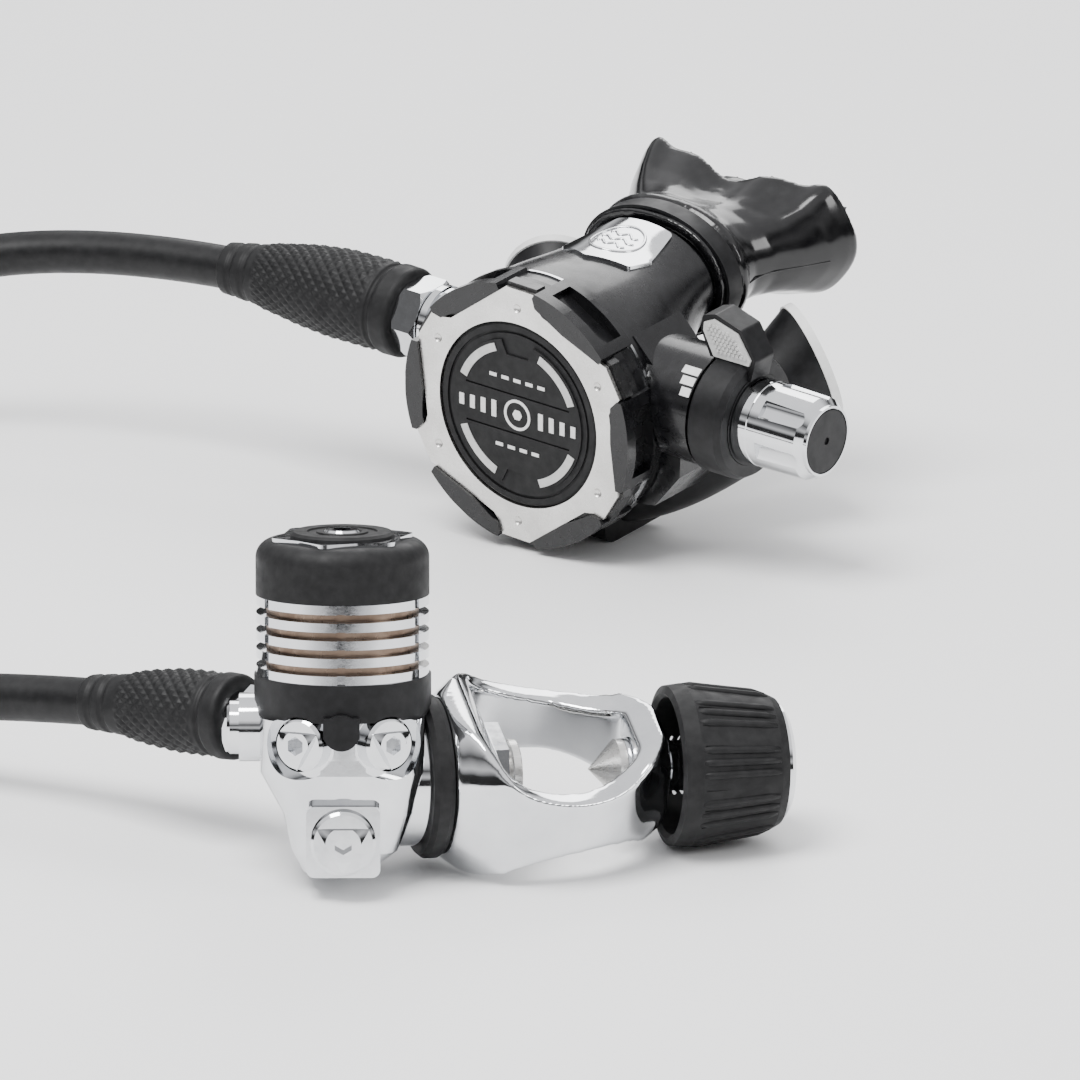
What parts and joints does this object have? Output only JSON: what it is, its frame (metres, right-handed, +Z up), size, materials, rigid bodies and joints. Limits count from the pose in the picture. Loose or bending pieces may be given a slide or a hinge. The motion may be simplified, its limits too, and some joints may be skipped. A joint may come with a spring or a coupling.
{
  "type": "scuba regulator set",
  "caption": "Yoke first stage with port plugs and clamp knob, joined by a low-pressure hose to a second stage with purge cover, mouthpiece, exhaust tee, lever and adjusting knob.",
  "frame": {"origin": "on the floor, under the centre of the box round both stages, hose left out", "axes": "+Z up, +Y from the first stage to the second stage behind it, +X towards the yoke knob"},
  "size_m": [0.3888, 0.4063, 0.0845],
  "materials": {
    "cover_steel": "brushed",
    "gloss_black": "gloss, lightly textured",
    "soft_black": "matt rubber",
    "inlay_grey": "satin",
    "chrome": "polished",
    "silicone_black": "glossy silicone",
    "satin_black": "satin",
    "valve_brass": "machined",
    "spring_steel": "drawn wire",
    "seat_white": "moulded",
    "rim_white": "satin",
    "bronze": "dark anodised",
    "hose_black": "smooth rubber"
  },
  "bodies": {
    "regulator": {"cover_plate": "cover_steel", "cover_ring": "gloss_black", "purge_spring": "spring_steel", "diaphragm": "silicone_black", "case_ring": "chrome", "case": "gloss_black", "case_badge": "chrome", "lever_bearing": "satin_black", "valve_tube": "chrome", "valve_orifice": "valve_brass", "poppet_spring": "spring_steel", "mouthpiece": "silicone_black", "clamp_band": "satin_black", "exhaust_tee": "satin_black", "tee_rims": "rim_white", "exhaust_valve": "silicone_black", "inlet_fitting": "chrome", "swivel_nut": "chrome", "port_block": "chrome", "port_plugs": "chrome", "collar": "satin_black", "rib_barrel": "chrome", "groove_bands": "bronze", "cap": "soft_black", "cap_badge": "chrome", "top_disc": "soft_black", "top_screw": "chrome", "main_spring": "spring_steel", "spring_button": "valve_brass", "spring_adjuster": "valve_brass", "main_diaphragm": "silicone_black", "valve_crown": "valve_brass", "poppet_return_spring": "spring_steel", "bumper": "soft_black", "yoke": "chrome", "inlet_retainer": "chrome", "nozzle_spring": "spring_steel", "inlet_filter": "valve_brass", "hose_fitting": "chrome", "hose_sleeves": "soft_black", "hose": "hose_black"},
    "purge_button": {"purge_button": "soft_black", "purge_inlays": "inlay_grey"},
    "diaphragm_disc": {"diaphragm_disc": "seat_white"},
    "demand_lever": {"demand_lever": "spring_steel"},
    "demand_valve": {"poppet": "valve_brass", "poppet_seat": "soft_black"},
    "adjusting_knob": {"adjusting_knob": "chrome", "knob_disc": "satin_black"},
    "adjusting_piston": {"adjusting_piston": "valve_brass"},
    "venturi_lever": {"venturi_lever": "satin_black", "lever_pad": "inlay_grey"},
    "inlet_nozzle": {"inlet_nozzle": "cover_steel", "inlet_seal": "silicone_black"},
    "valve_train": {"lifter": "valve_brass", "inlet_poppet": "valve_brass"},
    "screw_point": {"screw_point": "cover_steel"},
    "yoke_knob": {"yoke_screw": "chrome", "knob_rubber": "soft_black", "knob_cap": "chrome"}
  },
  "joints": [
    {"name": "purge_press", "type": "slide", "parent": "regulator", "child": "purge_button", "axis": [0.6108, 0.7837, 0.1128], "range_m": [0, 0.003], "stiffness_N_per_m": 400, "deforming": ["purge_spring"]},
    {"name": "diaphragm_travel", "type": "slide", "parent": "regulator", "child": "diaphragm_disc", "axis": [0.6108, 0.7837, 0.1128], "range_m": [0, 0.003]},
    {"name": "demand_lever_swing", "type": "hinge", "parent": "regulator", "child": "demand_lever", "pos_m": [0.01804, 0.10816, 0.04515], "axis": [-0.0041, -0.1394, 0.9902], "range_deg": [-13, 0]},
    {"name": "demand_valve_lift", "type": "slide", "parent": "regulator", "child": "demand_valve", "axis": [0.7917, -0.6053, -0.0819], "range_m": [0, 0.0008]},
    {"name": "adjusting_knob_turn", "type": "hinge", "parent": "regulator", "child": "adjusting_knob", "pos_m": [0.06317, 0.07365, 0.04048], "axis": [0.7917, -0.6053, -0.0819], "range_deg": [-541, 541]},
    {"name": "adjusting_piston_travel", "type": "slide", "parent": "regulator", "child": "adjusting_piston", "axis": [0.7917, -0.6053, -0.0819], "range_m": [-0.0012, 0.0012]},
    {"name": "venturi_lever_turn", "type": "hinge", "parent": "regulator", "child": "venturi_lever", "pos_m": [0.04916, 0.08437, 0.04193], "axis": [0.7917, -0.6053, -0.0819], "range_deg": [-20, 40]},
    {"name": "inlet_nozzle_press", "type": "slide", "parent": "regulator", "child": "inlet_nozzle", "axis": [-0.9681, -0.2477, 0.0366], "range_m": [0, 0.0015], "stiffness_N_per_m": 2500},
    {"name": "valve_train_lift", "type": "slide", "parent": "regulator", "child": "valve_train", "axis": [0, -0.1461, -0.9893], "range_m": [0, 0.0004], "stiffness_N_per_m": 2500},
    {"name": "yoke_screw_travel", "type": "slide", "parent": "regulator", "child": "screw_point", "axis": [0.9681, 0.2477, -0.0366], "range_m": [-0.00525, 0.007]},
    {"name": "yoke_knob_turn", "type": "hinge", "parent": "screw_point", "child": "yoke_knob", "pos_m": [0.04057, -0.14003, 0.01972], "axis": [0.9681, 0.2477, -0.0366], "range_deg": [-1081, 1441]}
  ],
  "couplings": [
    {"joint": "diaphragm_travel", "follows": "purge_press", "ratio": 1},
    {"joint": "demand_lever_swing", "follows": "purge_press", "rad_per_m": -69.813},
    {"joint": "demand_valve_lift", "follows": "purge_press", "ratio": 0.25},
    {"joint": "adjusting_knob_turn", "follows": "adjusting_piston_travel", "rad_per_m": 7854},
    {"joint": "yoke_knob_turn", "follows": "yoke_screw_travel", "rad_per_m": 3590.4}
  ]
}
